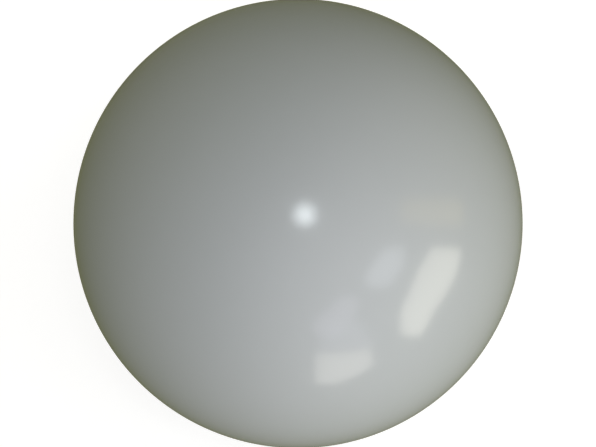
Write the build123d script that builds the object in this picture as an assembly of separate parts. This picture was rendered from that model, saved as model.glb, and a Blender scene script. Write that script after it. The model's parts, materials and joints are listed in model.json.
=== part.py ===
"""Floating pool light: a milky globe that screws down over a weighted, battery-powered light base.

Millimetres, +Z up. The origin is on the vertical axis of the globe, at the level that the foot ring stands on.
"""

import math
import os

from build123d import *

# ---------------------------------------------------------------- driving sizes
GLOBE_R = 150.0  # outside of the globe
GLOBE_Z = 136.0  # height of the globe's centre over the surface it stands on
WALL = 2.6  # moulded wall of the globe
SPLIT_Z = 18.0  # level at which the globe's rim ends and the base begins
RIM_GAP = 0.5  # shadow gap between globe rim and base rim
LIFT = 120.0  # how far the globe rises off the base
LEAD = 30.0  # rise of the four-start thread in one turn

# base pan
SKIRT = 3.0  # wall of the pan's skirt
UNDER_Z = 1.5  # underside of the pan
TROUGH_Z = 5.0  # floor of the trough between skirt and collar
RIM_Z = SPLIT_Z - RIM_GAP
COLLAR_R = 62.0
COLLAR_BORE_R = 59.0
COLLAR_ROOT_BORE_R = 57.5
COLLAR_ROOT_Z = 26.0
COLLAR_TOP_Z = 46.0
SHOULDER_R = 70.5
SHOULDER_T = 4.0
SEAT_Z = 4.7  # face that the service cover closes against
FLOOR_TOP_Z = 8.5
ACCESS_R = 43.4
POCKET_R = 55.0
RIBS = 12
RIB_T = 2.0

# neck, slip ring and thread
SLIP_T = 1.2
NECK_BORE_R = 64.8
NECK_R = 68.2
NECK_BOTTOM_Z = RIM_Z + SLIP_T
NECK_TOP_Z = 41.0
FLANGE_T = 3.2
STARTS = 4
LUG_ARC = 50.0
LUG_H = 2.2
LUG_ROOT_T = 3.0
LUG_TIP_T = 1.8
LUG_GAP = 0.35
LUG_Z = 34.5
SLIP_FIT = 0.08

# seals
NECK_SEAL_R = 2.0
NECK_SEAL_Z = 22.4
NECK_SEAL_RUN = 0.05
DOME_SEAL_R = 0.8
DOME_SEAL_RING_R = 50.0

# screws
SCREWS = 6
COVER_SCREW_RING_R = 50.6
DOME_SCREW_RING_R = 56.5
SHANK_R = 1.45
HOLE_R = 1.6
PILOT_R = 1.5
HEAD_R = 2.6
HEAD_H = 1.8
HEX_R = 1.15

# service cover and what sits in it
COVER_R = 54.6
COVER_T = 3.0
COVER_Z = SEAT_Z - COVER_T
BUTTON_AT = (0.0, -25.0)
BUTTON_R = 7.1
BRIDGE_HALF = 11.5
SOCKET_AT = (20.0, 8.0)
WELL_R = 7.0
WELL_TOP_Z = 7.0
LENS_AT = (20.0, -13.0)
RING_AT = (-13.0, 8.0)  # middle of the tether ring's hinge bar
RING_WIRE_R = 1.5
RING_HALF_W = 9.5
RING_REACH = 17.0
RING_Z = 4.2
EAR_Y = 4.5

# electronics
BOARD_R = 40.0
BOARD_Z = 14.4
BOARD_T = 1.6
BOARD_POST_AT = (27.0, 25.0)
CELL_R = 9.2
CELL_L = 65.0
CELL_PITCH = 18.9
CELL_Z = 29.8
TRAY_Z = 39.2
TRAY_T = 2.0
TRAY_POST_AT = (29.0, 9.45)
LEAD_Y = 12.0
BALLAST_Z = 14.6
BALLAST_T = 12.0

# light engine
DECK_Z = COLLAR_TOP_Z + 1.0
DECK_T = 3.0
DECK_R = 61.6
DECK_TOP_Z = DECK_Z + DECK_T
SPREADER_R = 45.5
SPREADER_T = 3.0
LED_BOARD_Z = DECK_TOP_Z + SPREADER_T
LED_BOARD_R = 36.0
LED_RINGS = ((6, 13.0), (12, 27.0))
LED_SCREW_RING_R = 20.0
DOME_FLANGE_R = 52.5
DOME_R = 48.3
DOME_WALL = 2.0
DOME_H = 33.4
RING_LIP_T = 3.4

PARTS = "parts"


# ---------------------------------------------------------------- small helpers
def disc(radius, low, high):
    return Pos(0, 0, low) * extrude(Circle(radius), high - low)


def ring(inner, outer, low, high):
    return Pos(0, 0, low) * extrude(Circle(outer) - Circle(inner), high - low)


def block(size_x, size_y, low, high, at=(0.0, 0.0)):
    return Pos(at[0], at[1], low) * extrude(Rectangle(size_x, size_y), high - low)


def post(radius, low, high, at):
    return Pos(at[0], at[1], 0) * disc(radius, low, high)


def ball(radius):
    return Pos(0, 0, GLOBE_Z) * Sphere(radius)


def slab(low, high):
    return block(3 * GLOBE_R, 3 * GLOBE_R, low, high)


def around(count, radius, start=0.0):
    """Points evenly spaced on a circle, as (x, y) pairs."""
    angles = [math.radians(start + 360.0 * i / count) for i in range(count)]
    return [(radius * math.cos(a), radius * math.sin(a)) for a in angles]


def four_corners(at):
    return [(sx * at[0], sy * at[1]) for sx in (1, -1) for sy in (1, -1)]


def o_ring(ring_radius, section_radius, level):
    return Pos(0, 0, level) * Torus(ring_radius, section_radius)


def thread_lugs(face_radius, height, level):
    """Four right-handed helical lugs. A negative height makes them point inwards."""
    rise = LEAD * LUG_ARC / 360.0
    root = face_radius - math.copysign(0.6, height)
    tip = face_radius + height
    helix = Helix(pitch=LEAD, height=rise, radius=face_radius)
    outline = Polyline(
        (root, 0, -LUG_ROOT_T / 2),
        (root, 0, LUG_ROOT_T / 2),
        (tip, 0, LUG_TIP_T / 2),
        (tip, 0, -LUG_TIP_T / 2),
        close=True,
    )
    lug = sweep(make_face(outline), path=helix, normal=(0, 0, 1))
    return [Rot(0, 0, 360.0 * i / STARTS) * Pos(0, 0, level) * lug for i in range(STARTS)]


def machine_screw(at, seat, shank_length, up=1, head_h=HEAD_H):
    """Button-head screw with a hexagon socket. up = 1: the shank points up from a head below it."""
    head = disc(HEAD_R, -head_h, 0)
    head = fillet(head.edges().group_by(Axis.Z)[0], 0.8)
    head -= Pos(0, 0, -head_h) * extrude(RegularPolygon(HEX_R, 6), 1.1)
    screw = head + disc(SHANK_R, 0, shank_length)
    if up < 0:
        screw = Rot(180, 0, 0) * screw
    return Pos(at[0], at[1], seat) * screw


def lead_tube(points, radii, radius):
    """A round lead along straight runs joined by tangent arcs."""
    path = FilletPolyline(*points, radius=radii)
    start = Plane(origin=path @ 0, z_dir=path % 0)
    return sweep(start * Circle(radius), path=path)


# ---------------------------------------------------------------- globe
def globe_shell():
    """Seamless milky sphere, cut flat at the split."""
    shell = ball(GLOBE_R) - ball(GLOBE_R - WALL)
    return shell & slab(SPLIT_Z, 3 * GLOBE_R)


def neck_ring():
    """Ring bonded inside the globe's rim, with the threaded neck."""
    web = ball(GLOBE_R - WALL) & slab(NECK_BOTTOM_Z, NECK_BOTTOM_Z + FLANGE_T)
    neck = disc(NECK_R, NECK_BOTTOM_Z, NECK_TOP_Z)
    body = web + neck - disc(NECK_BORE_R, 0, NECK_TOP_Z + 1)
    stiffeners = [
        Rot(0, 0, 15 + 30 * i)
        * Pos(NECK_R + 6.0, 0, NECK_BOTTOM_Z + FLANGE_T)
        * extrude(Rectangle(13.0, 2.0), 6.0)
        for i in range(RIBS)
    ]
    level = LUG_Z - LUG_ROOT_T - LUG_GAP
    for piece in stiffeners + thread_lugs(NECK_BORE_R, -LUG_H, level):
        body += piece
    return body


def slip_ring():
    """Thin nylon washer between the shoulder and the neck, a running fit on the collar."""
    return ring(COLLAR_R + SLIP_FIT, SHOULDER_R - 0.5, RIM_Z, NECK_BOTTOM_Z)


# ---------------------------------------------------------------- base
def base_pan():
    """Weighted pan: skirt that carries on the globe's curve, threaded collar, and a floor with the access opening."""
    pan = ball(GLOBE_R) & slab(UNDER_Z, RIM_Z)
    pan -= ball(GLOBE_R - SKIRT) & slab(TROUGH_Z, 3 * GLOBE_R)
    pan += ring(COLLAR_BORE_R, COLLAR_R, UNDER_Z + 1, COLLAR_TOP_Z)
    pan += ring(COLLAR_ROOT_BORE_R, COLLAR_R, UNDER_Z + 1, COLLAR_ROOT_Z)
    pan += ring(COLLAR_R - 1, SHOULDER_R, RIM_Z - SHOULDER_T, RIM_Z)
    pan += ring(ACCESS_R, COLLAR_ROOT_BORE_R + 1, UNDER_Z + 1, FLOOR_TOP_Z)
    rib = block(30, RIB_T, TROUGH_Z - 1, RIM_Z - SHOULDER_T + 1, at=(COLLAR_R + 14, 0))
    for i in range(RIBS):
        pan += (Rot(0, 0, 15 + 360 * i / RIBS) * rib) & ball(GLOBE_R - 1)
    for at in around(SCREWS, DOME_SCREW_RING_R):
        pan += post(3.4, 30.0, COLLAR_TOP_Z, at) & disc(COLLAR_BORE_R + 0.5, 0, 60)
    for at in around(SCREWS, COVER_SCREW_RING_R, 30):
        pan += post(3.4, FLOOR_TOP_Z - 1, BALLAST_Z - 0.1, at)
    for at in around(3, COVER_SCREW_RING_R + 0.9, 0):
        pan += post(3.4, FLOOR_TOP_Z - 1, BALLAST_Z - 0.1, at)
    for piece in thread_lugs(COLLAR_R, LUG_H, LUG_Z):
        pan += piece

    pan -= disc(POCKET_R, 0, SEAT_Z)
    pan -= disc(ACCESS_R, 0, FLOOR_TOP_Z + 1)
    pan -= ring(44.9, 46.9, 0, SEAT_Z + 1.2)
    pan -= ring(57.0, 63.0, 0, UNDER_Z + 1.2)
    groove = COLLAR_R + NECK_SEAL_RUN
    floor = NECK_BORE_R - NECK_SEAL_RUN - 2 * NECK_SEAL_R
    pan -= ring(floor, groove, NECK_SEAL_Z - 2.2, NECK_SEAL_Z + 2.2)
    for at in around(SCREWS, COVER_SCREW_RING_R, 30):
        pan -= post(PILOT_R, 0, 13.5, at)
    for at in around(3, COVER_SCREW_RING_R + 0.9, 0):
        pan -= post(PILOT_R, 10.0, 20.0, at)
    for at in around(SCREWS, DOME_SCREW_RING_R):
        pan -= post(PILOT_R, 36.0, COLLAR_TOP_Z + 1, at)
    return pan


def neck_seal():
    return o_ring(NECK_BORE_R - NECK_SEAL_RUN - NECK_SEAL_R, NECK_SEAL_R, NECK_SEAL_Z)


def foot_ring():
    """Soft non-slip ring, pressed into the pan's groove and standing proud of it."""
    foot = ring(57.1, 62.9, 0, UNDER_Z + 1.2)
    edges = foot.edges().group_by(Axis.Z)[0]
    return chamfer(edges, 0.5)


def ballast_ring():
    body = ring(46.5, 56.3, BALLAST_Z, BALLAST_Z + BALLAST_T)
    body = chamfer(body.edges(), 0.8)
    for at in around(3, COVER_SCREW_RING_R + 0.9, 0):
        body -= post(HOLE_R + 0.1, 0, 40, at)
    return body


def ballast_screws():
    top = BALLAST_Z + BALLAST_T
    return [machine_screw(at, top, 15.5, up=-1) for at in around(3, COVER_SCREW_RING_R + 0.9, 0)]


# ---------------------------------------------------------------- service cover
def socket_well():
    x, y = SOCKET_AT
    return Pos(x, y, 0) * (disc(9.0, COVER_Z, WELL_TOP_Z + 2.0))


def ring_recess(margin, top):
    """Pocket for the folded tether ring, or the wall around it when margin is positive."""
    x, y = RING_AT
    length = RING_REACH + 8.5
    outline = RectangleRounded(length + 2 * margin, 25.0 + 2 * margin, 5.0 + margin)
    return Pos(x + 5.0 - length / 2, y, COVER_Z) * extrude(outline, top - COVER_Z)


def service_cover():
    """Round cover in the underside with the wells for button, socket, indicator and tether ring."""
    cover = disc(COVER_R, COVER_Z, SEAT_Z)
    cover = chamfer(cover.edges().group_by(Axis.Z)[0], 0.4)
    cover += ring(41.4, 43.0, SEAT_Z - 0.5, SEAT_Z + 2.6)
    cover += ring_recess(1.6, 10.8)
    cover += socket_well()
    for at in four_corners(BOARD_POST_AT):
        cover += post(3.0, SEAT_Z - 0.5, BOARD_Z, at)
    for dx in (-BRIDGE_HALF, BRIDGE_HALF):
        cover += post(2.4, SEAT_Z - 0.5, 9.0, (BUTTON_AT[0] + dx, BUTTON_AT[1]))

    bx, by = BUTTON_AT
    cover -= post(BUTTON_R + 0.3, 0, SEAT_Z + 1, BUTTON_AT)
    cover -= Pos(bx, by, COVER_Z) * Cone(BUTTON_R + 1.4, BUTTON_R + 0.3, 1.2, align=(Align.CENTER, Align.CENTER, Align.MIN))
    sx, sy = SOCKET_AT
    cover -= post(WELL_R, 0, WELL_TOP_Z, SOCKET_AT)
    cover -= post(4.2, 0, WELL_TOP_Z + 3, SOCKET_AT)
    cover -= post(WELL_R + 1.6, 0, COVER_Z + 1.3, SOCKET_AT)
    cover -= block(17.0, 5.6, 0, COVER_Z + 1.3, at=(sx - 6.0, sy))
    cover -= post(1.6, 0, SEAT_Z + 1, LENS_AT)
    cover -= ring_recess(0.0, 9.2)
    for at in around(SCREWS, COVER_SCREW_RING_R, 30):
        cover -= post(HOLE_R, 0, SEAT_Z + 1, at)
        cover -= post(HEAD_R + 0.2, 0, COVER_Z + 2.0, at)
    for at in four_corners(BOARD_POST_AT):
        cover -= post(1.1, 7.0, BOARD_Z + 1, at)

    rx, ry = RING_AT
    for side in (-1, 1):
        ear = block(6.4, 2.2, RING_Z - 2.2, 9.6, at=(rx, ry + side * EAR_Y))
        hole = Pos(rx, ry + side * EAR_Y, RING_Z) * Rot(90, 0, 0) * Cylinder(RING_WIRE_R + 0.08, 6)
        cover += ear - hole
    return cover


def cover_gasket():
    return ring(45.0, 46.8, SEAT_Z, SEAT_Z + 1.2)


def cover_screws():
    seat = COVER_Z + 2.0
    return [machine_screw(at, seat, 9.0) for at in around(SCREWS, COVER_SCREW_RING_R, 30)]


def power_button():
    """Button cap with its retaining flange and stem."""
    cap = disc(BUTTON_R, COVER_Z + 0.2, SEAT_Z + 0.4)
    cap = fillet(cap.edges().group_by(Axis.Z)[0], 0.9)
    cap += disc(BUTTON_R + 1.4, SEAT_Z + 0.1, SEAT_Z + 1.4)
    cap += disc(2.0, SEAT_Z + 1.0, 8.6)
    return Pos(BUTTON_AT[0], BUTTON_AT[1], 0) * cap


def button_spring():
    turns, wire = 3.0, 0.25
    low, high = SEAT_Z + 1.4 + wire, 9.0 - wire
    coil = Helix(pitch=(high - low) / turns, height=high - low, radius=3.6)
    start = Plane(origin=coil @ 0, z_dir=coil % 0)
    spring = sweep(start * Circle(wire), path=coil, normal=(0, 0, 1))
    return Pos(BUTTON_AT[0], BUTTON_AT[1], low) * spring


def button_bridge():
    """Pressed strip that the spring pushes against, on two posts of the cover."""
    strip = extrude(SlotOverall(2 * BRIDGE_HALF + 6.0, 6.4), 0.8)
    strip = Pos(0, 0, 9.0) * strip
    strip -= disc(2.4, 8, 11)
    strip = Pos(BUTTON_AT[0], BUTTON_AT[1], 0) * strip
    return strip


def bridge_rivets():
    heads = []
    for dx in (-BRIDGE_HALF, BRIDGE_HALF):
        rivet = disc(1.6, 9.8, 10.5)
        rivet = fillet(rivet.edges().group_by(Axis.Z)[-1], 0.4)
        heads.append(Pos(BUTTON_AT[0] + dx, BUTTON_AT[1], 0) * rivet)
    return heads


def status_lens():
    body = disc(1.5, COVER_Z + 0.1, BOARD_Z - 1.2) + disc(2.4, SEAT_Z, SEAT_Z + 0.9)
    return Pos(LENS_AT[0], LENS_AT[1], 0) * body


def charge_socket():
    """Barrel socket standing on the board, open at its lower end."""
    x, y = SOCKET_AT
    body = disc(3.9, WELL_TOP_Z + 0.2, BOARD_Z) + block(9.0, 9.0, WELL_TOP_Z + 2.2, BOARD_Z)
    body -= disc(2.8, 0, BOARD_Z - 1.6)
    return Pos(x, y, 0) * body


def socket_pin():
    pin = disc(1.05, WELL_TOP_Z + 1.0, BOARD_Z - 1.6)
    pin = fillet(pin.edges().group_by(Axis.Z)[0], 0.5)
    return Pos(SOCKET_AT[0], SOCKET_AT[1], 0) * pin


def socket_flap():
    """Soft stopper: plug, face plate and strap, up to the line it bends on."""
    low, high = COVER_Z + 0.1, COVER_Z + 1.2
    flap = disc(WELL_R + 1.2, low, high)
    flap += disc(WELL_R - 0.7, high - 0.1, high + 2.4)
    flap += block(12.0, 5.0, low, high, at=(-7.0, 0))
    return Pos(SOCKET_AT[0], SOCKET_AT[1], 0) * flap


def flap_anchor():
    """Root of the stopper's strap, held in the cover's groove."""
    foot = block(1.1, 5.0, COVER_Z + 0.1, COVER_Z + 1.2, at=(-13.9, 0))
    return Pos(SOCKET_AT[0], SOCKET_AT[1], 0) * foot


def tether_ring():
    """Closed wire ring with a straight hinge bar and a round bow."""
    x, y = RING_AT
    half, reach, corner = RING_HALF_W, RING_REACH, 3.5
    right = FilletPolyline((0, 0), (0, half), (-reach, half), (-reach, 0), radius=[corner, half - 1.5])
    left = FilletPolyline((-reach, 0), (-reach, -half), (0, -half), (0, 0), radius=[half - 1.5, corner])
    path = Wire(right.edges() + left.edges())
    section = Plane(origin=path @ 0, z_dir=path % 0) * Circle(RING_WIRE_R)
    return Pos(x, y, RING_Z) * sweep(section, path=path)


# ---------------------------------------------------------------- electronics
def control_board():
    board = disc(BOARD_R, BOARD_Z, BOARD_Z + BOARD_T)
    for at in four_corners(BOARD_POST_AT):
        board -= post(1.3, 10, 20, at)
    return board


def board_screws():
    top = BOARD_Z + BOARD_T
    screws = []
    for at in four_corners(BOARD_POST_AT):
        head = disc(2.1, top, top + 1.3)
        head = fillet(head.edges().group_by(Axis.Z)[-1], 0.5)
        screws.append(Pos(at[0], at[1], 0) * (head + disc(1.0, 8.0, top + 0.1)))
    return screws


def board_chips():
    """Driver, charger and memory packages, and two capacitors, on the board's upper face."""
    top = BOARD_Z + BOARD_T
    chips = [
        block(10.0, 10.0, top, top + 1.4, at=(-8.0, 8.0)),
        block(6.0, 5.0, top, top + 1.6, at=(10.0, 14.0)),
        block(5.0, 4.0, top, top + 1.4, at=(12.0, -6.0)),
        block(7.0, 7.0, top, top + 3.0, at=(-6.0, -16.0)),
        post(3.0, top, top + 3.4, (8.0, -22.0)),
        post(3.0, top, top + 3.4, (-20.0, -8.0)),
    ]
    return chips


def tact_switch():
    body = block(6.2, 6.2, BOARD_Z - 3.5, BOARD_Z, at=BUTTON_AT)
    return body + post(1.75, 9.95, BOARD_Z - 3.4, BUTTON_AT)


def board_sockets():
    """Wire-to-board sockets for the battery and light leads."""
    top = BOARD_Z + BOARD_T
    battery = block(6.0, 8.0, top, top + 4.2, at=(33.0, LEAD_Y))
    light = block(9.0, 5.0, top, top + 4.2, at=(0.0, 34.0))
    return [battery, light]


def battery_cells():
    can = Pos(-0.6, 0, 0) * Rot(0, 90, 0) * Cylinder(CELL_R, CELL_L - 1.2)
    can = fillet(can.edges(), 0.8)
    cell = can + Pos(CELL_L / 2 - 0.8, 0, 0) * Rot(0, 90, 0) * Cylinder(2.9, 1.6)
    return [Pos(0, CELL_PITCH * i, CELL_Z) * Rot(0, 0, 180 * (i % 2)) * cell for i in (-1, 0, 1)]


def battery_tray():
    """Cradle under the deck that the three cells hang in."""
    width = 2 * CELL_PITCH + 2 * CELL_R + 1.0
    length = CELL_L + 6.0
    tray = block(length, width - 1.0, TRAY_Z, TRAY_Z + TRAY_T)
    for side in (-1, 1):
        wall = block(1.8, width - 6.0, 24.0, TRAY_Z + 0.5, at=(side * (length / 2 - 0.9), 0))
        tray += wall
    tray -= Pos(length / 2, LEAD_Y, CELL_Z) * Rot(0, 90, 0) * Cylinder(1.4, 8)
    for at in four_corners(TRAY_POST_AT):
        tray -= post(1.3, TRAY_Z - 1, TRAY_Z + TRAY_T + 1, at)
    return tray


def battery_contacts():
    """Nickel strips that join the cells end to end."""
    strips = []
    for side in (-1, 1):
        x = side * (CELL_L / 2 + 0.2)
        strips.append(block(0.4, 2 * CELL_PITCH + 8.0, CELL_Z - 3.5, CELL_Z + 3.5, at=(x, 0)))
    return strips


def battery_straps():
    """Two bands round the cells and tray."""
    straps = []
    width = 2 * CELL_PITCH + 2 * CELL_R
    low = CELL_Z - CELL_R
    high = TRAY_Z + TRAY_T
    outer = RectangleRounded(width + 2.0, high - low + 2.0, 1.0)
    inner = Pos(0, -0.15) * Rectangle(width + 0.6, high - low + 0.3)
    band = extrude(Plane.YZ * (outer - inner), 8.0)
    for x in (-22.0, 14.0):
        straps.append(Pos(x, 0, (low + high) / 2) * band)
    return straps


def tray_screws():
    screws = []
    for at in four_corners(TRAY_POST_AT):
        head = disc(2.1, TRAY_Z - 1.0, TRAY_Z)
        screws.append(Pos(at[0], at[1], 0) * (head + disc(1.0, TRAY_Z - 0.1, DECK_Z - 0.6)))
    return screws


def battery_lead():
    y, plug_z = LEAD_Y, BOARD_Z + BOARD_T + 2.1
    start_x = CELL_L / 2 + 0.4
    points = [(start_x, y, CELL_Z), (39.0, y, CELL_Z), (39.0, y, plug_z), (36.0, y, plug_z)]
    return lead_tube(points, [2.2, 2.2], 1.1)


def light_lead():
    top = BOARD_Z + BOARD_T
    points = [(0, 34, top + 4.2), (0, 34, 43.9), (0, 8, 43.9), (0, 8, LED_BOARD_Z + 2.4)]
    return lead_tube(points, [8.0, 3.4], 1.6)


# ---------------------------------------------------------------- light engine
def deck_gasket():
    return ring(59.2, 61.6, COLLAR_TOP_Z, DECK_Z)


def deck_plate():
    """Plate that closes the collar and carries the light engine."""
    plate = disc(DECK_R, DECK_Z, DECK_TOP_Z)
    for at in four_corners(TRAY_POST_AT):
        plate += post(3.0, TRAY_Z + TRAY_T, DECK_Z + 0.5, at)
        plate -= post(1.1, TRAY_Z, DECK_Z - 0.2, at)
    plate -= post(10.0, DECK_Z - 1, DECK_TOP_Z + 1, (0, 0))
    for at in around(SCREWS, DOME_SCREW_RING_R):
        plate -= post(HOLE_R, 40, 60, at)
    for at in around(3, LED_SCREW_RING_R, 90):
        plate -= post(PILOT_R, DECK_TOP_Z - 2.6, DECK_TOP_Z + 1, at)
    seal_in = DOME_SEAL_RING_R - DOME_SEAL_R - 0.1
    seal_out = DOME_SEAL_RING_R + DOME_SEAL_R + 0.1
    plate -= ring(seal_in, seal_out, DECK_TOP_Z - 2 * DOME_SEAL_R, DECK_TOP_Z + 1)
    return plate


def heat_spreader():
    plate = disc(SPREADER_R, DECK_TOP_Z, LED_BOARD_Z)
    plate -= post(10.0, 0, 90, (0, 0))
    for at in around(3, LED_SCREW_RING_R, 90):
        plate -= post(HOLE_R, 0, 90, at)
    return plate


def led_board():
    board = disc(LED_BOARD_R, LED_BOARD_Z, LED_BOARD_Z + BOARD_T)
    board -= post(2.2, 0, 90, (0, 8))
    for at in around(3, LED_SCREW_RING_R, 90):
        board -= post(HOLE_R, 0, 90, at)
    return board


def led_chips():
    low = LED_BOARD_Z + BOARD_T
    chips = []
    for count, radius in LED_RINGS:
        for i in range(count):
            chip = extrude(Rectangle(5.0, 5.0), 1.6)
            chip -= Pos(0, 0, 1.2) * extrude(Circle(2.0), 1.0)
            chips.append(Rot(0, 0, 360.0 * i / count + 15) * Pos(radius, 0, low) * chip)
    return chips


def led_screws():
    seat = LED_BOARD_Z + BOARD_T
    return [machine_screw(at, seat, 6.8, up=-1) for at in around(3, LED_SCREW_RING_R, 90)]


def remote_receiver():
    """Infra-red receiver for the remote, in the middle of the light board."""
    low = LED_BOARD_Z + BOARD_T
    body = block(5.6, 4.4, low, low + 7.0, at=(0, -4.0))
    body = fillet(body.edges().filter_by(Axis.Z), 0.6)
    eye = Pos(0, -4.0, low + 7.0) * Sphere(1.9)
    return body + eye


def reflector():
    """White cone round the light board."""
    low = LED_BOARD_Z
    foot, tip, rise = LED_BOARD_R + 0.4, LED_BOARD_R + 4.6, 7.2
    outline = Polyline(
        (foot, low),
        (foot + 5.6, low),
        (foot + 5.6, low + 1.2),
        (foot + 2.2, low + 1.2),
        (tip + 1.2, low + rise),
        (tip, low + rise),
        (foot, low + 1.2),
        close=True,
    )
    return revolve(Plane.XZ * make_face(outline), Axis.Z)


def light_dome():
    """Clear cover over the lights, with the flange that its ring clamps."""
    low = DECK_TOP_Z + 2.0
    outer_r = (DOME_R**2 + DOME_H**2) / (2 * DOME_H)
    centre = low + DOME_H - outer_r
    inner_r = outer_r - DOME_WALL
    mouth_r = math.sqrt(inner_r**2 - (low - centre) ** 2)
    dome = Pos(0, 0, centre) * Sphere(outer_r) & slab(low - 1, 200)
    dome += disc(DOME_FLANGE_R, DECK_TOP_Z, low)
    dome -= Pos(0, 0, centre) * Sphere(inner_r) & slab(low, 200)
    dome -= disc(mouth_r, 0, low)
    return dome


def dome_seal():
    return o_ring(DOME_SEAL_RING_R, DOME_SEAL_R, DECK_TOP_Z - DOME_SEAL_R)


def dome_ring():
    """Clamp ring over the dome's flange."""
    flange_top = DECK_TOP_Z + 2.0
    top = flange_top + RING_LIP_T
    body = ring(DOME_FLANGE_R + 0.2, 60.4, DECK_TOP_Z, top) + ring(DOME_R + 0.4, 60.4, flange_top, top)
    body = chamfer(body.edges().group_by(Axis.Z)[-1], 0.8)
    for at in around(SCREWS, DOME_SCREW_RING_R):
        body -= post(HOLE_R, 0, 90, at)
        body -= post(HEAD_R + 0.3, top - 1.6, 90, at)
    return body


def dome_screws():
    seat = DECK_TOP_Z + 2.0 + RING_LIP_T - 1.6
    return [machine_screw(at, seat, 16.0, up=-1) for at in around(SCREWS, DOME_SCREW_RING_R)]


NODES = (
    globe_shell,
    neck_ring,
    slip_ring,
    base_pan,
    neck_seal,
    foot_ring,
    ballast_ring,
    ballast_screws,
    service_cover,
    cover_gasket,
    cover_screws,
    power_button,
    button_spring,
    button_bridge,
    bridge_rivets,
    status_lens,
    charge_socket,
    socket_pin,
    socket_flap,
    flap_anchor,
    tether_ring,
    control_board,
    board_screws,
    board_chips,
    tact_switch,
    board_sockets,
    battery_cells,
    battery_tray,
    battery_contacts,
    battery_straps,
    tray_screws,
    battery_lead,
    light_lead,
    deck_gasket,
    deck_plate,
    heat_spreader,
    led_board,
    led_chips,
    led_screws,
    remote_receiver,
    reflector,
    light_dome,
    dome_seal,
    dome_ring,
    dome_screws,
)


def main():
    os.makedirs(PARTS, exist_ok=True)
    for make in NODES:
        made = make()
        shape = Compound(children=made) if isinstance(made, list) else made
        export_step(shape, f"{PARTS}/{make.__name__}.step")


main()
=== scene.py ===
import json
import math

import bmesh
import bpy
import numpy as np
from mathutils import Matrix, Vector


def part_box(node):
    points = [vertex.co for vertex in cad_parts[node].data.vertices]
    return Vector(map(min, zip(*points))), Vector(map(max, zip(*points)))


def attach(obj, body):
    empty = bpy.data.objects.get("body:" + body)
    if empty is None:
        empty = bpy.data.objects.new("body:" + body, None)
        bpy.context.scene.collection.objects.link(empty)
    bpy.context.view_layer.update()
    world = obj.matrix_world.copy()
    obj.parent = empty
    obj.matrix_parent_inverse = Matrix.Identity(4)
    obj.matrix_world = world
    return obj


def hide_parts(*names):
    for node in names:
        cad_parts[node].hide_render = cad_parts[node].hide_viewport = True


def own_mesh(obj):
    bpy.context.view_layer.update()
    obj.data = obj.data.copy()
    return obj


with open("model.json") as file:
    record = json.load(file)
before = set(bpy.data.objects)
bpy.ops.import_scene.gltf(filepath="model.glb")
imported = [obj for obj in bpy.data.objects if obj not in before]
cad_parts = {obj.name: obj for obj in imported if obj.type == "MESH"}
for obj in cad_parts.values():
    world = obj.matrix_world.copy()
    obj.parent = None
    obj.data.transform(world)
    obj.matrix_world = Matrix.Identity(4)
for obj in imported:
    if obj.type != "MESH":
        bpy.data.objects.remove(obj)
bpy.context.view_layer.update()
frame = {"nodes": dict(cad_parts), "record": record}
nodes = frame["nodes"]
scene = bpy.context.scene
print("frame loaded:", len(nodes), "nodes")

# the camera looks down at the globe, so that its outline nearly fills the height of the view
cameraSettings = {
    "elevation": 50.0,  # degrees above the horizon
    "distance": 1.2,  # from the globe's centre
    "sensorWidth": 36.0,
    "outlineShare": 0.3770,  # radius of the globe's outline over the view's width
}
globeSize = {"radius": 0.150, "centreHeight": 0.136}
globeCentre = Vector((0, 0, globeSize["centreHeight"]))
tilt = math.radians(cameraSettings["elevation"])
viewBack = Vector((0, -math.cos(tilt), math.sin(tilt)))
viewRight = Vector((1, 0, 0))
viewUp = viewBack.cross(viewRight)


def addCamera(settings):
    data = bpy.data.cameras.new("camera")
    camera = bpy.data.objects.new("camera", data)
    scene.collection.objects.link(camera)
    far, radius = settings["distance"], globeSize["radius"]
    outlineTangent = radius / math.sqrt(far * far - radius * radius)
    data.sensor_width = settings["sensorWidth"]
    # lens = sensor width * outline share / tangent of the outline's half angle
    data.lens = settings["sensorWidth"] * settings["outlineShare"] / outlineTangent
    camera.location = globeCentre + viewBack * far
    camera.rotation_mode = "QUATERNION"
    camera.rotation_quaternion = (-viewBack).to_track_quat("-Z", "Y")
    scene.camera = camera


addCamera(cameraSettings)


# a Value is one output socket of a node, and + - * / and ** on it add Math nodes
class Value:
    def __init__(self, graph, socket):
        self.graph = graph
        self.socket = socket

    def maths(self, operation, *others):
        inputs = dict(enumerate((self, *others)))
        return self.graph.add("ShaderNodeMath", {"operation": operation}, inputs)

    def swapped(self, operation, other):
        return self.graph.add("ShaderNodeMath", {"operation": operation}, {0: other, 1: self})

    def __add__(self, other):
        return self.maths("ADD", other)

    def __sub__(self, other):
        return self.maths("SUBTRACT", other)

    def __mul__(self, other):
        return self.maths("MULTIPLY", other)

    def __truediv__(self, other):
        return self.maths("DIVIDE", other)

    def __pow__(self, other):
        return self.maths("POWER", other)

    def __rsub__(self, other):
        return self.swapped("SUBTRACT", other)

    __radd__ = __add__
    __rmul__ = __mul__

    def size(self):
        return self.maths("ABSOLUTE")

    def limited(self):
        # kept between 0 and 1
        return self.maths("MAXIMUM", 0.0).maths("MINIMUM", 1.0)

    def over(self, edge, softness):
        # 0 below the edge, 1 above it, with a soft step between
        return ((self - edge) / softness + 0.5).limited()

    def under(self, edge, softness):
        return 1 - self.over(edge, softness)


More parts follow.
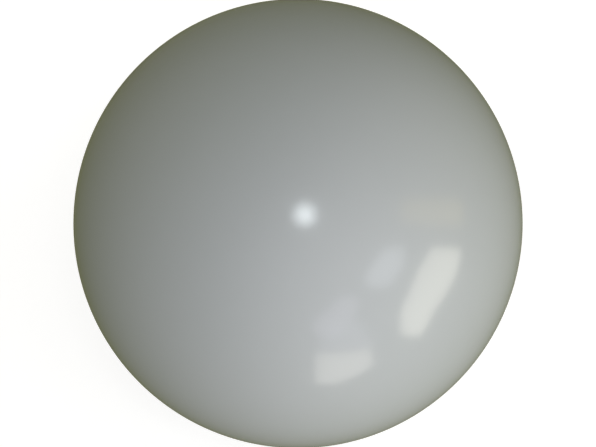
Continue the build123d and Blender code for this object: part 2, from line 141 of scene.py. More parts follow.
class Graph:
    # the nodes of one material or world; add() makes any node from its type, settings and socket values
    def __init__(self, tree):
        self.tree = tree
        self.tree.nodes.clear()

    def add(self, kind, settings=None, values=None, out=0):
        node = self.tree.nodes.new(kind)
        for name, value in (settings or {}).items():
            setattr(node, name, value)
        for key, value in (values or {}).items():
            if isinstance(value, Value):
                self.tree.links.new(value.socket, node.inputs[key])
            else:
                node.inputs[key].default_value = value
        return Value(self, node.outputs[out]) if node.outputs else node

    def place(self):
        return self.add("ShaderNodeTexCoord", out=3)

    def axes(self):
        place = self.place()
        return [self.add("ShaderNodeSeparateXYZ", values={0: place}, out=i) for i in range(3)]

    def stretched(self, scale, turn=(0, 0, 0)):
        values = {"Vector": self.place(), "Scale": scale, "Rotation": turn}
        return self.add("ShaderNodeMapping", values=values)

    def noise(self, scale, detail=3.0, place=None, distortion=0.0):
        where = place or self.place()
        sizes = {"Vector": where, "Scale": scale, "Detail": detail, "Distortion": distortion}
        return self.add("ShaderNodeTexNoise", values=sizes)

    def cells(self, scale, place, distance="EUCLIDEAN", out=0):
        # out 0 is the distance to the nearest cell's middle, out 1 that cell's random shade
        values = {"Vector": place, "Scale": scale}
        return self.add("ShaderNodeTexVoronoi", {"distance": distance}, values, out)

    def blend(self, share, low, high):
        # colour low where share is 0, high where it is 1
        rgba = [c if isinstance(c, Value) else (*c, 1.0) for c in (low, high)]
        return self.add("ShaderNodeMix", {"data_type": "RGBA"}, {0: share, 6: rgba[0], 7: rgba[1]}, out=2)

    def bump(self, height, depth, strength=1.0):
        return self.add("ShaderNodeBump", values={"Height": height, "Distance": depth, "Strength": strength})


def newMaterial(name):
    material = bpy.data.materials.new(name)
    material.use_nodes = True
    return material, Graph(material.node_tree)


def closeMaterial(graph, values):
    shader = graph.add("ShaderNodeBsdfPrincipled", values=values)
    graph.add("ShaderNodeOutputMaterial", values={"Surface": shader})


def shade(colour, factor):
    return tuple(min(1.0, c * factor) for c in colour)


def milkyShell(settings):
    # moulded milky polyethylene: faint clouding, and the shallow orange peel of a rotational mould
    material, graph = newMaterial("milkyShell")
    cloud = graph.noise(9.0, 3.0)
    fine = graph.noise(60.0, 2.0)
    tone = (cloud * 0.7 + fine * 0.3).over(0.5, 0.5)
    colour, clouding = settings["colour"], settings["clouding"]
    values = {
        "Base Color": graph.blend(tone, shade(colour, 1 - clouding), shade(colour, 1 + clouding)),
        "Roughness": settings["roughness"] + (fine - 0.5) * settings["roughnessSpread"],
        "Normal": graph.bump(graph.noise(settings["peelScale"], 2.0), settings["peelDepth"]),
        "IOR": settings["refraction"],
    }
    closeMaterial(graph, values)
    return material


def mouldedPlastic(name, colour, roughness, grain=1400.0, depth=0.00004, scuffs=0.25, glow=0.0):
    # fine spark-eroded grain, slow shading in the moulding, and thin handling scuffs
    material, graph = newMaterial(name)
    cloud = graph.noise(30.0, 3.0)
    peel = graph.noise(grain, 3.0)
    along = graph.stretched((1.0, 14.0, 3.0), (0.3, 0.2, 0.9))
    scratch = graph.noise(55.0, 6.0, along, 0.4).over(0.66, 0.06)
    tone = graph.blend(cloud.over(0.5, 0.5), shade(colour, 0.95), shade(colour, 1.05))
    values = {
        "Base Color": graph.blend(scratch * scuffs, tone, shade(colour, 1.25)),
        "Roughness": (roughness + (cloud - 0.5) * 0.12 + scratch * 0.1 * scuffs).limited(),
        "Normal": graph.bump(peel, depth, 0.8),
        "Subsurface Weight": glow,
        "Subsurface Radius": (1.0, 1.0, 1.0),
        "Subsurface Scale": 0.003,
    }
    closeMaterial(graph, values)
    return material


def softRubber(name, colour, roughness, dust=0.2, glow=0.0):
    # matt elastomer with a fine grain and pale dust in it
    material, graph = newMaterial(name)
    grain = graph.noise(2200.0, 2.0)
    dusty = graph.noise(90.0, 5.0).over(0.56, 0.12)
    values = {
        "Base Color": graph.blend(dusty * dust, colour, shade(tuple(c + 0.05 for c in colour), 1.6)),
        "Roughness": (roughness + dusty * 0.1 + (grain - 0.5) * 0.1).limited(),
        "Normal": graph.bump(grain, 0.00005, 0.8),
        "Subsurface Weight": glow,
        "Subsurface Radius": (1.0, 1.0, 1.0),
        "Subsurface Scale": 0.002,
    }
    closeMaterial(graph, values)
    return material


def plainMetal(name, colour, roughness, brush=(1.0, 1.0, 12.0), mottle=0.06):
    # drawn or plated metal: lines along the draw, and a faint mottle
    material, graph = newMaterial(name)
    lines = graph.noise(700.0, 3.0, graph.stretched(brush))
    patch = graph.noise(140.0, 4.0)
    tone = graph.blend(patch.over(0.5, 0.4), shade(colour, 1 - mottle), shade(colour, 1 + mottle))
    values = {
        "Base Color": tone,
        "Metallic": 1.0,
        "Roughness": (roughness + (lines - 0.5) * 0.2 + (patch - 0.5) * 0.1).limited(),
        "Normal": graph.bump(lines, 0.00002, 0.6),
    }
    closeMaterial(graph, values)
    return material


def milledPlate(name, colour, pitch):
    # face-turned aluminium: fine rings round the vertical axis
    material, graph = newMaterial(name)
    x, y = graph.axes()[:2]
    radius = (x * x + y * y) ** 0.5
    rings = (radius * (2 * math.pi / pitch)).maths("SINE")
    patch = graph.noise(120.0, 4.0)
    values = {
        "Base Color": graph.blend(patch, shade(colour, 0.93), colour),
        "Metallic": 1.0,
        "Roughness": (0.3 + (patch - 0.5) * 0.15).limited(),
        "Normal": graph.bump(rings, 0.00001, 0.7),
    }
    closeMaterial(graph, values)
    return material


boardSettings = {
    "patchScale": 150.0,
    "padShades": (0.40, 0.56),  # patches of a lower shade have tracks along x, of a higher one along y
    "trackWaves": 5200.0,  # radians per metre across the tracks
    "padScale": 420.0,
    "padSize": 0.15,
    "tin": (0.62, 0.62, 0.60),
}


def circuitBoard(name, mask, trace):
    # solder mask over copper: patches of parallel tracks along x or y, with tinned pads between them
    material, graph = newMaterial(name)
    x, y = graph.axes()[:2]
    flat = graph.stretched((1.0, 1.0, 0.0))
    patch = graph.cells(boardSettings["patchScale"], flat, "CHEBYCHEV", 1)
    low, high = boardSettings["padShades"]
    waves = boardSettings["trackWaves"]
    alongX = (y * waves).maths("SINE").over(0.45, 0.3) * patch.under(low, 0.01)
    alongY = (x * waves).maths("SINE").over(0.45, 0.3) * patch.over(high, 0.01)
    tracks = alongX + alongY
    dots = graph.cells(boardSettings["padScale"], flat).under(boardSettings["padSize"], 0.04)
    pads = dots * patch.over(low, 0.01) * patch.under(high, 0.01)
    covered = graph.blend(tracks * 0.8, mask, trace)
    values = {
        "Base Color": graph.blend(pads, covered, boardSettings["tin"]),
        "Metallic": pads * 0.9,
        "Roughness": (0.32 + (graph.noise(400.0, 2.0) - 0.5) * 0.1).limited(),
        "Normal": graph.bump(tracks + pads, 0.00004, 0.7),
    }
    closeMaterial(graph, values)
    return material


def lightBoard(name, colour, settings):
    # white mask over ring tracks that join the packages, broken halfway between each pair
    material, graph = newMaterial(name)
    x, y = graph.axes()[:2]
    radius = (x * x + y * y) ** 0.5
    angle = y.maths("ARCTAN2", x)
    tracks = 0.0
    for count, ring in settings["rings"]:
        band = (radius - ring).size().under(settings["trackWidth"] / 2, 0.0002)
        turn = (angle - math.radians(settings["startTurn"])) * (count / 2)
        tracks = band * turn.maths("SINE").size().under(0.985, 0.01) + tracks
    rim = (radius - settings["edgeRing"]).size().under(settings["edgeWidth"] / 2, 0.0002)
    raised = (tracks + rim).limited()
    cloud = graph.noise(120.0, 3.0)
    flat = graph.blend(cloud, shade(colour, 0.93), shade(colour, 0.97))
    values = {
        "Base Color": graph.blend(raised, flat, shade(colour, 1.06)),
        "Roughness": (0.3 + (cloud - 0.5) * 0.1 + raised * 0.05).limited(),
        "Normal": graph.bump(raised, 0.00008, 0.9),
    }
    closeMaterial(graph, values)
    return material


def sleevedCell(name, sleeve, can, sleeveEnd):
    # shrink sleeve round the can, open at both ends of the cell
    material, graph = newMaterial(name)
    x = graph.axes()[0]
    bare = x.size().over(sleeveEnd, 0.0002)
    wrinkle = graph.noise(160.0, 3.0, graph.stretched((0.3, 1.0, 1.0)))
    values = {
        "Base Color": graph.blend(bare, graph.blend(wrinkle, shade(sleeve, 0.85), sleeve), can),
        "Metallic": bare,
        "Roughness": (0.28 + (wrinkle - 0.5) * 0.1).limited(),
        "Normal": graph.bump(wrinkle, 0.00008, 0.6),
    }
    closeMaterial(graph, values)
    return material


def clearPlastic(name, colour, roughness):
    # clear moulding with faint flow lines
    material, graph = newMaterial(name)
    flow = graph.noise(40.0, 2.0)
    values = {
        "Base Color": graph.blend(flow, shade(colour, 0.97), colour),
        "Roughness": (roughness + (flow - 0.5) * 0.02).limited(),
        "Transmission Weight": 1.0,
        "IOR": 1.49,
        "Normal": graph.bump(flow, 0.00002, 0.5),
    }
    closeMaterial(graph, values)
    return material


def markedButton(name, colour, mark, settings):
    # satin button with a printed ring-and-bar power mark on its lower face
    material, graph = newMaterial(name)
    centreX, centreY = settings["centre"]
    x, y, z = graph.axes()
    u, v = x - centreX, y - centreY
    radius = (u * u + v * v) ** 0.5
    line = settings["line"]
    ringMark = (radius - settings["ring"]).size().under(line, 0.0001)
    frontHalf = v.under(0.0, 0.0001)
    gap = u.size().under(line * settings["gapShare"], 0.0001) * frontHalf
    bar = u.size().under(line, 0.0001) * frontHalf * v.over(-settings["bar"], 0.0001)
    printed = (ringMark * (1 - gap) + bar).limited() * z.under(settings["top"], 0.0001)
    grain = graph.noise(1800.0, 2.0)
    plain = graph.blend(graph.noise(60.0), shade(colour, 0.92), colour)
    values = {
        "Base Color": graph.blend(printed, plain, mark),
        "Roughness": (0.32 + (grain - 0.5) * 0.1).limited(),
        "Normal": graph.bump(grain, 0.00002, 0.6),
    }
    closeMaterial(graph, values)
    return material


shellSettings = {
    "colour": (0.40, 0.43, 0.44),
    "clouding": 0.012,
    "roughness": 0.16,
    "roughnessSpread": 0.03,
    "peelScale": 260.0,
    "peelDepth": 0.000004,
    "refraction": 1.5,
}
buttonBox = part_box("power_button")
buttonSettings = {
    "centre": ((buttonBox[0].x + buttonBox[1].x) / 2, (buttonBox[0].y + buttonBox[1].y) / 2),
    "ring": 0.0031,
    "line": 0.00042,
    "bar": 0.0040,
    "gapShare": 2.4,  # half the ring's gap over half the line
    "top": buttonBox[0].z + 0.0012,
}
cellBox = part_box("battery_cells")
lightBoardSettings = {
    "rings": [(6, 0.013), (12, 0.027)],
    "startTurn": 15.0,
    "trackWidth": 0.0034,
    "edgeRing": 0.0335,
    "edgeWidth": 0.0008,
}

finishes = {
    "milky_shell": milkyShell(shellSettings),
    "neck_plastic": mouldedPlastic("neckPlastic", (0.55, 0.58, 0.58), 0.34, glow=0.1),
    "washer_nylon": mouldedPlastic("naturalNylon", (0.74, 0.70, 0.58), 0.40, 700.0, glow=0.15),
    "base_plastic": mouldedPlastic("basePlastic", (0.44, 0.465, 0.475), 0.36),
    "cover_plastic": mouldedPlastic("coverPlastic", (0.24, 0.26, 0.27), 0.45, scuffs=0.4),
    "foot_rubber": softRubber("footRubber", (0.035, 0.038, 0.042), 0.62, 0.35),
    "seal_rubber": softRubber("sealRubber", (0.015, 0.015, 0.016), 0.42, 0.05),
    "silicone": softRubber("silicone", (0.16, 0.18, 0.20), 0.48, 0.15, 0.1),
    "zinc_steel": plainMetal("zincSteel", (0.56, 0.57, 0.58), 0.36, (1.0, 1.0, 1.0), 0.1),
    "stainless": plainMetal("stainless", (0.62, 0.61, 0.59), 0.24, (1.0, 6.0, 1.0), 0.04),
    "spring_steel": plainMetal("springSteel", (0.42, 0.41, 0.40), 0.3, (1.0, 1.0, 1.0)),
    "button_plastic": markedButton("buttonPlastic", (0.035, 0.16, 0.34), (0.80, 0.82, 0.82), buttonSettings),
    "lens_clear": clearPlastic("lensClear", (0.80, 0.86, 0.88), 0.12),
    "socket_plastic": mouldedPlastic("socketPlastic", (0.012, 0.012, 0.013), 0.4, scuffs=0.0),
    "pin_brass": plainMetal("pinBrass", (0.72, 0.52, 0.24), 0.22, (1.0, 1.0, 1.0)),
    "board_green": circuitBoard("boardGreen", (0.008, 0.085, 0.030), (0.016, 0.155, 0.055)),
    "board_white": lightBoard("boardWhite", (0.74, 0.75, 0.73), lightBoardSettings),
    "chip_black": mouldedPlastic("chipBlack", (0.012, 0.012, 0.013), 0.5, 2400.0, scuffs=0.1),
    "switch_black": mouldedPlastic("switchBlack", (0.02, 0.02, 0.022), 0.45, scuffs=0.0),
    "plug_cream": mouldedPlastic("plugCream", (0.68, 0.62, 0.46), 0.4, scuffs=0.0),
    "cell_wrap": sleevedCell("cellSleeve", (0.02, 0.11, 0.30), (0.60, 0.60, 0.58), cellBox[1].x - 0.0016),
    "tray_plastic": mouldedPlastic("trayPlastic", (0.02, 0.021, 0.022), 0.46),
    "nickel": plainMetal("nickelStrip", (0.60, 0.57, 0.52), 0.3, (1.0, 1.0, 9.0)),
    "band": softRubber("bandRubber", (0.02, 0.02, 0.021), 0.55, 0.1),
    "lead_red": mouldedPlastic("leadRed", (0.42, 0.02, 0.014), 0.38, scuffs=0.0),
    "lead_grey": mouldedPlastic("leadGrey", (0.11, 0.115, 0.12), 0.40, scuffs=0.0),
    "deck_plastic": mouldedPlastic("deckPlastic", (0.66, 0.67, 0.66), 0.4),
    "spreader_metal": milledPlate("spreaderMetal", (0.70, 0.71, 0.72), 0.0006),
    "led_phosphor": mouldedPlastic("ledPhosphor", (0.80, 0.60, 0.10), 0.25, scuffs=0.0),
    "receiver_black": mouldedPlastic("receiverBlack", (0.010, 0.006, 0.008), 0.15, 200.0, 0.00001, 0.0),
    "reflector_white": mouldedPlastic("reflectorWhite", (0.80, 0.81, 0.80), 0.2, 500.0, 0.00001, 0.05),
    "dome_clear": clearPlastic("domeClear", (0.93, 0.95, 0.96), 0.03),
    "ring_white": mouldedPlastic("ringWhite", (0.60, 0.615, 0.61), 0.38),
}
for row in frame["record"]["subparts"]:
    mesh = nodes[row["node"]].data
    for i in range(max(1, len(mesh.materials))):
        if i < len(mesh.materials):
            mesh.materials[i] = finishes[row["material_slot"]]
        else:
            mesh.materials.append(finishes[row["material_slot"]])
print("materials made:", len(finishes))


def makePiece(name, points, faces, body, slot, finish=None):
    mesh = bpy.data.meshes.new(name)
    mesh.from_pydata(points.reshape(-1, 3).tolist(), [], faces.reshape(-1, faces.shape[-1]).tolist())
    shape = bmesh.new()
    shape.from_mesh(mesh)
    bmesh.ops.remove_doubles(shape, verts=shape.verts, dist=1e-7)
    bmesh.ops.recalc_face_normals(shape, faces=shape.faces)
    shape.to_mesh(mesh)
    shape.free()
    mesh.polygons.foreach_set("use_smooth", np.full(len(mesh.polygons), True))
    mesh.materials.append(finish or finishes[slot])
    piece = bpy.data.objects.new(name, mesh)
    scene.collection.objects.link(piece)
    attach(piece, body)
    return piece


def gridFaces(rows, columns, rowsClosed, columnsClosed):
    # four corners of every cell of a grid, wrapping round where it is closed
    i = np.arange(rows if rowsClosed else rows - 1)[:, None]
    j = np.arange(columns if columnsClosed else columns - 1)[None, :]
    nextI, nextJ = (i + 1) % rows, (j + 1) % columns
    corners = (i * columns + j, i * columns + nextJ, nextI * columns + nextJ, nextI * columns + j)
    return np.stack(np.broadcast_arrays(*corners), axis=-1)


def turned(profile, steps):
    # profile points (radius, height) carried round the vertical axis: x = radius cos a, y = radius sin a
    a = np.linspace(0, 2 * math.pi, steps, endpoint=False)[None, :]
    r, z = profile[:, :1], profile[:, 1:]
    return np.stack([r * np.cos(a), r * np.sin(a), z + 0 * a], axis=-1)


def arc(centre, radius, start, end, count):
    # points on a circle from one angle to another, in degrees from the horizontal
    a = np.radians(np.linspace(start, end, count))
    return np.stack([centre[0] + radius * np.cos(a), centre[1] + radius * np.sin(a)], axis=-1)


globePiece = {
    "wall": 0.0026,
    "rimHeight": 0.018,
    "rimRound": 0.0005,
    "rimEase": (0.0004, 0.0012),  # from the outer edge in to the curve's control point, and to its end
    "rimInset": 0.0004,
    "rimRows": 4,
    "outerRows": 220,
    "innerRows": 60,
    "steps": 256,
}


def makeGlobe(settings):
    # outer sphere from the pole down to the rim, a small round, the flat rim, and the inner sphere back up
    radius, height = globeSize["radius"], globeSize["centreHeight"]
    wall, rim, soft = settings["wall"], settings["rimHeight"], settings["rimRound"]
    endAngle = -math.degrees(math.asin((height - rim - soft) / radius))
    innerAngle = -math.degrees(math.asin((height - rim - soft) / (radius - wall)))
    outer = arc((0, height), radius, 90, endAngle, settings["outerRows"])
    inner = arc((0, height), radius - wall, innerAngle, 90, settings["innerRows"])
    outerEdge, innerEdge = outer[-1], inner[0]
    pull, reach = settings["rimEase"]
    control = np.array([outerEdge[0] - pull, rim])
    lowOuter = np.array([outerEdge[0] - reach, rim])
    lowInner = np.array([innerEdge[0] + settings["rimInset"], rim])
    # the round is (1 - t)^2 edge + 2 t (1 - t) control + t^2 lowOuter
    t = np.linspace(0, 1, settings["rimRows"] + 1)[1:, None]
    rounded = (1 - t) ** 2 * outerEdge + 2 * t * (1 - t) * control + t**2 * lowOuter
    profile = np.concatenate([outer, rounded, [lowInner], inner])
    profile[0, 0] = profile[-1, 0] = 0.0
    points = turned(profile, settings["steps"])
    faces = gridFaces(len(profile), settings["steps"], False, True)
    return makePiece("globeShell", points, faces, "globe", "milky_shell")


globe = makeGlobe(globePiece)
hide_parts("globe_shell")

footPiece = {
    "width": 0.0058,
    "round": 0.0006,
    "ribs": 72,
    "groove": 0.0007,
    "grooveEdge": (3.0, 1.6),  # steepness of a groove's sides, and how far it narrows
    "steps": 1152,
}


def makeFoot(settings):
    # a ring of square section, its lower edges rounded and its lower face cut by narrow radial grooves
    low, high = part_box("foot_ring")
    outer, top = high.x, high.z
    inner = outer - settings["width"]
    soft = settings["round"]
    corners = [
        arc((outer - soft, low.z + soft), soft, 0, -90, 6),
        arc((inner + soft, low.z + soft), soft, -90, -180, 6),
        np.array([[inner, top], [outer, top]]),
    ]
    profile = np.concatenate(corners)
    points = turned(profile, settings["steps"])
    a = np.linspace(0, 2 * math.pi, settings["steps"], endpoint=False)[None, :]
    # depth share of the grooves: clip(steep cos(ribs a) - narrow, 0, 1)
    steep, narrow = settings["grooveEdge"]
    wave = np.clip(np.cos(a * settings["ribs"]) * steep - narrow, 0, 1)
    lower = points[..., 2] < low.z + soft
    points[..., 2] += np.where(lower, wave * settings["groove"], 0.0)
    faces = gridFaces(len(profile), settings["steps"], True, True)
    return makePiece("footRing", points, faces, "base", "foot_rubber")


foot = makeFoot(footPiece)
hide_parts("foot_ring")

lightPiece = {
    "rings": [(6, 0.013), (12, 0.027)],  # count and radius of each ring of packages
    "startTurn": 15.0,
    "width": 0.005,
    "low": 0.0546,
    "high": 0.0562,
    "cupRadius": 0.0021,
    "cupDepth": 0.0004,
    "corner": 0.00045,
    "edgeRound": 0.00012,
    "domeRise": 0.00012,
    "steps": 32,
}


def placeOnRings(points, settings):
    # copies of a small grid of points, turned and moved out to each place on the rings
    copies = []
    y, z = points[None, ..., 1], points[None, ..., 2]
    for count, radius in settings["rings"]:
        a = np.radians(settings["startTurn"] + np.arange(count) * 360.0 / count)[:, None, None]
        x = points[None, ..., 0] + radius
        # a turn about the vertical axis: x cos a - y sin a, x sin a + y cos a
        moved = [x * np.cos(a) - y * np.sin(a), x * np.sin(a) + y * np.cos(a), z + 0 * a]
        copies.append(np.stack(moved, axis=-1))
    return np.concatenate(copies)


def unitRing(steps):
    # cos a and sin a at each step, half a step round from the axes
    a = (np.arange(steps) + 0.5) * 2 * math.pi / steps
    return np.stack([np.cos(a), np.sin(a)], axis=-1)


def squareLoop(half, corner, steps):
    # a square with rounded corners: the corner circles' centres, plus the corner radius along each angle
    ring = unitRing(steps)
    return np.sign(ring) * (half - corner) + ring * corner


def stacked(loops):
    # rows of (x, y, z) from flat loops and their heights
    return np.stack([np.concatenate([flat, np.full((len(flat), 1), z)], axis=1) for flat, z in loops])


def makeLights(settings):
    # loops from the underside's middle, out over the sides and top, and down into the round cup
    steps, half, corner = settings["steps"], settings["width"] / 2, settings["corner"]
    low, high = settings["low"], settings["high"]
    cup, depth = settings["cupRadius"], settings["cupDepth"]
    circle = unitRing(steps)
    square = squareLoop(half, corner, steps)
    soft = settings["edgeRound"]
    loops = [
        (square * 0, low),
        (square, low),
        (square, high - soft),
        (squareLoop(half - soft * 0.3, corner, steps), high - soft * 0.3),
        (squareLoop(half - soft, corner, steps), high),
        (circle * (cup + soft), high),
        (circle * cup, high - soft),
        (circle * (cup - depth * 0.4), high - depth),
        (circle * 0, high - depth),
    ]
    body = stacked(loops)
    rise, level = settings["domeRise"], high - depth * 0.55
    pool = circle * (cup - depth * 0.3)
    # the gel fills the lower part of the cup and swells a little in the middle
    gel = stacked([
        (pool * 0, high - depth + 0.00002),
        (pool, high - depth + 0.00002),
        (pool, level),
        (pool * 0.75, level + rise * 0.6),
        (pool * 0.4, level + rise * 0.9),
        (pool * 0, level + rise),
    ])
    cupFinish = mouldedPlastic("lightPackage", (0.78, 0.78, 0.76), 0.35, scuffs=0.0)
    for name, rows, finish in (("lightPackages", body, cupFinish), ("lightGel", gel, None)):
        points = placeOnRings(rows, settings)
        one = gridFaces(len(rows), steps, False, True).reshape(-1, 4)
        shift = np.arange(len(points))[:, None, None] * len(rows) * steps
        yield makePiece(name, points, one[None] + shift, "base", "led_phosphor", finish)


packages, gel = makeLights(lightPiece)
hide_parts("led_chips")

springPiece = {
    "wire": 0.00025,  # radius of the wire
    "radius": 0.0036,
    "turns": 4.0,
    "flatTurns": 0.75,  # at each end
    "steps": 220,
    "sides": 12,
    "pressedShare": 0.586,  # of its height, with the button in
}


def makeSpring(settings):
    # a round wire carried along a helix whose rise eases off at both ends, so the end turns lie flat
    low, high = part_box("button_spring")
    wire, radius, turns = settings["wire"], settings["radius"], settings["turns"]
    t = np.concatenate([[0.0], np.linspace(0, 1, settings["steps"]), [1.0]])[:, None]
    ends = np.arange(len(t))[:, None] % (len(t) - 1) == 0
    a = 2 * math.pi * turns * t
    # share of the climb: u^2 (3 - 2 u), where u goes from 0 to 1 between the flat end turns
    flat = settings["flatTurns"]
    rise = np.clip((t * turns - flat) / (turns - 2 * flat), 0, 1)
    height = low.z + wire + (high.z - low.z - 2 * wire) * rise * rise * (3 - 2 * rise)
    b = np.linspace(0, 2 * math.pi, settings["sides"], endpoint=False)[None, :]
    centreX, centreY = (low.x + high.x) / 2, (low.y + high.y) / 2
    thick = np.where(ends, 0.0, wire)  # the first and last rows close the wire
    r = radius + thick * np.cos(b)
    points = np.stack([centreX + r * np.cos(a), centreY + r * np.sin(a), height + thick * np.sin(b)], axis=-1)
    faces = gridFaces(len(points), settings["sides"], False, True)
    return makePiece("buttonSpring", points, faces, "base", "spring_steel")


spring = makeSpring(springPiece)
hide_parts("button_spring")
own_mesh(spring)
print("pieces made")


def addStage(settings):
    # a pale floor that curves up into a wall far away, and that lights nothing else
    radius, bend, height = settings["radius"], settings["bend"], settings["height"]
    flat = np.array([[r, 0.0] for r in (0.0, 0.1, 0.4, 1.0, radius - bend)])
    curve = arc((radius - bend, bend), bend, -90, 0, settings["bendRows"])
    profile = np.concatenate([flat, curve, [[radius, height]]])
    points = turned(profile, settings["steps"])
    mesh = bpy.data.meshes.new("floor")
    faces = gridFaces(len(profile), settings["steps"], False, True)
    mesh.from_pydata(points.reshape(-1, 3).tolist(), [], faces.reshape(-1, 4).tolist())
    mesh.polygons.foreach_set("use_smooth", np.full(len(mesh.polygons), True))
    floor = bpy.data.objects.new("floor", mesh)
    scene.collection.objects.link(floor)
    material, graph = newMaterial("floor")
    x, y, z = graph.axes()
    away = (x * x + y * y + z * z) ** 0.5
    pale, near = settings["paleness"], [settings["lift"]] * 3
    values = {
        "Base Color": (pale, pale, pale, 1.0),
        "Roughness": 1.0,
        "Specular IOR Level": 0.0,
        "Emission Color": graph.blend(away.over(settings["fade"], settings["fade"]), near, (1.0, 1.0, 1.0)),
        "Emission Strength": 1.0,
    }
    closeMaterial(graph, values)
    mesh.materials.append(material)
    for ray in ("diffuse", "glossy", "shadow"):
        setattr(floor, "visible_" + ray, False)


stageSettings = {
    "radius": 6.0,
    "bend": 2.0,
    "height": 6.0,
    "bendRows": 24,
    "steps": 96,
    "paleness": 0.42,
    "lift": 0.80,  # the floor's own light near the lamp
    "fade": 0.5,  # distance over which it rises to white
}
addStage(stageSettings)


def towards(offAxis, around):
    # direction offAxis degrees from the camera's, turned round it by around degrees from the right
    off, turn = math.radians(offAxis), math.radians(around)
    sideways = viewRight * math.cos(turn) + viewUp * math.sin(turn)
    return (viewBack * math.cos(off) + sideways * math.sin(off)).normalized()


# soft light from all round the room: where each comes from (degrees off the camera's direction, turn
# round it), and how narrow it is, as a power of the cosine of the angle from its middle
coolTint, paleTint, warmTint = (1.05, 1.0, 1.15), (1.05, 1.0, 1.05), (1.1, 1.0, 0.9)
roomLights = {
    "front": {"place": (0, 0), "narrowness": 3.0, "brightness": 0.48, "tint": coolTint},
    "windows": {"place": (42, -50), "narrowness": 3.0, "brightness": 0.71, "tint": coolTint},
    "right": {"place": (75, 5), "narrowness": 4.0, "brightness": 0.22, "tint": paleTint},
    "below": {"place": (85, -90), "narrowness": 4.0, "brightness": 0.33, "tint": paleTint},
    "upperRight": {"place": (60, 50), "narrowness": 4.0, "brightness": 0.26, "tint": coolTint},
    "left": {"place": (60, -160), "narrowness": 4.0, "brightness": 0.14, "tint": coolTint},
    "upperLeft": {"place": (95, 140), "narrowness": 4.0, "brightness": 0.10, "tint": warmTint},
}
roomBase = (0.12, 0.125, 0.035)


def addRoom(lights, base):
    # light from a direction d: base + the sum of brightness * tint * max(0, d . aim) ** narrowness
    world = bpy.data.worlds.new("room")
    scene.world = world
    world.use_nodes = True
    graph = Graph(world.node_tree)
    direction = graph.add("ShaderNodeTexCoord", out=0)
    total = base
    for light in lights.values():
        inputs = {0: direction, 1: towards(*light["place"])}
        aim = graph.add("ShaderNodeVectorMath", {"operation": "DOT_PRODUCT"}, inputs, out=1)
        lobe = aim.maths("MAXIMUM", 0.0) ** light["narrowness"] * light["brightness"]
        tinted = graph.add("ShaderNodeVectorMath", {"operation": "SCALE"}, {0: light["tint"], "Scale": lobe})
        total = graph.add("ShaderNodeVectorMath", values={0: total, 1: tinted})
    background = graph.add("ShaderNodeBackground", values={"Color": total, "Strength": 1.0})
    graph.add("ShaderNodeOutputWorld", values={"Surface": background})


addRoom(roomLights, roomBase)

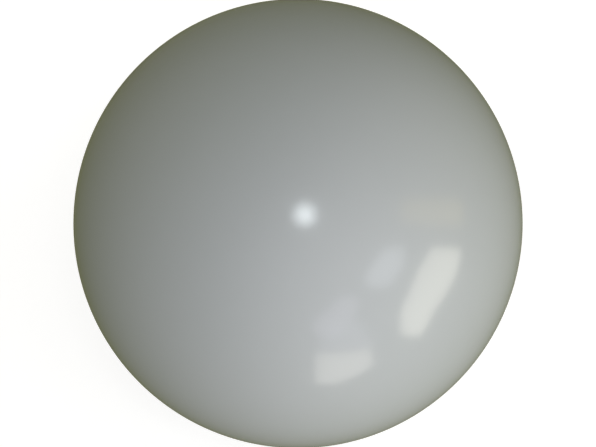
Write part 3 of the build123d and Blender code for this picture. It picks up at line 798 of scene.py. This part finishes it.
# window panes by their corners, and a round flash by its centre and spread, both as
# (degrees off the camera's direction, turn round it)
lampSides = 24
paneLights = {
    "flash": {"centre": (5, 53), "spread": 5.5, "distance": 1.1, "colour": (6.3, 6.8, 7.2)},
    "flashCore": {"centre": (5, 52), "spread": 2.6, "distance": 1.09, "colour": (10.0, 11.0, 11.0)},
    "tallPane": {
        "corners": [(66, -10), (84, -9), (85, -18), (82, -32), (85, -43), (75, -47), (65, -40), (62, -22)],
        "distance": 1.2, "colour": (4.0, 3.9, 3.4),
    },
    "widePane": {
        "corners": [(63, -82), (71, -60), (81, -62), (83, -69), (84, -78), (81, -84)],
        "distance": 1.2, "colour": (2.8, 2.7, 2.5),
    },
    "upperPane": {
        "corners": [(41, -16), (51, -12), (54, -22), (52, -35), (43, -43), (39, -36)],
        "distance": 1.2, "colour": (2.0, 2.1, 2.3),
    },
    "lowerPane": {
        "corners": [(39, -59), (44, -51), (51, -57), (56, -70), (53, -82), (46, -81)],
        "distance": 1.2, "colour": (1.3, 1.2, 1.5),
    },
    "veilPane": {
        "corners": [(54, -78), (53, -58), (71, -58), (62, -81)],
        "distance": 1.2, "colour": (0.9, 0.9, 1.1),
    },
    "warmPane": {
        "corners": [(50, 13), (69, 10), (85, 8), (84, -1), (68, -1), (48, 1)],
        "distance": 1.2, "colour": (0.9, 0.7, 0.2),
    },
}


def roundRim(settings):
    # directions spread degrees off the middle one, all the way round it
    middle = towards(*settings["centre"])
    across = middle.cross(viewRight).normalized()
    along = middle.cross(across)
    spread = math.radians(settings["spread"])
    turns = [2 * math.pi * i / lampSides for i in range(lampSides)]
    sideways = [across * math.cos(turn) + along * math.sin(turn) for turn in turns]
    return [middle * math.cos(spread) + side * math.sin(spread) for side in sideways]


def addPane(name, settings):
    # a glowing sheet that the room's light passes through
    if "corners" in settings:
        rim = [towards(*corner) for corner in settings["corners"]]
    else:
        rim = roundRim(settings)
    mesh = bpy.data.meshes.new(name)
    mesh.from_pydata([globeCentre + way * settings["distance"] for way in rim], [], [range(len(rim))])
    material, graph = newMaterial(name)
    glow = graph.add("ShaderNodeEmission", values={"Color": (*settings["colour"], 1.0), "Strength": 1.0})
    clear = graph.add("ShaderNodeBsdfTransparent")
    both = graph.add("ShaderNodeAddShader", values={0: glow, 1: clear})
    graph.add("ShaderNodeOutputMaterial", values={"Surface": both})
    mesh.materials.append(material)
    pane = bpy.data.objects.new(name, mesh)
    scene.collection.objects.link(pane)
    pane.visible_camera = pane.visible_shadow = False


for name, settings in paneLights.items():
    addPane(name, settings)

# soft fill from behind the lamp, so that only the far side takes light from it
fillLight = {
    "place": (163.0, 120.0),
    "distance": 1.8,
    "size": 1.6,
    "brightness": 3.7,
    "colour": (1.00, 0.92, 1.16),
}


def addFill(settings):
    data = bpy.data.lights.new("fill", "AREA")
    data.size = settings["size"]
    data.energy = settings["brightness"] * math.pi * settings["size"] ** 2
    data.color = settings["colour"]
    lamp = bpy.data.objects.new("fill", data)
    scene.collection.objects.link(lamp)
    away = towards(*settings["place"])
    lamp.location = globeCentre + away * settings["distance"]
    lamp.rotation_mode = "QUATERNION"
    lamp.rotation_quaternion = away.to_track_quat("Z", "Y")
    lamp.visible_camera = lamp.visible_glossy = False


addFill(fillLight)
scene.view_settings.view_transform = "Standard"
print("stage and lights made")
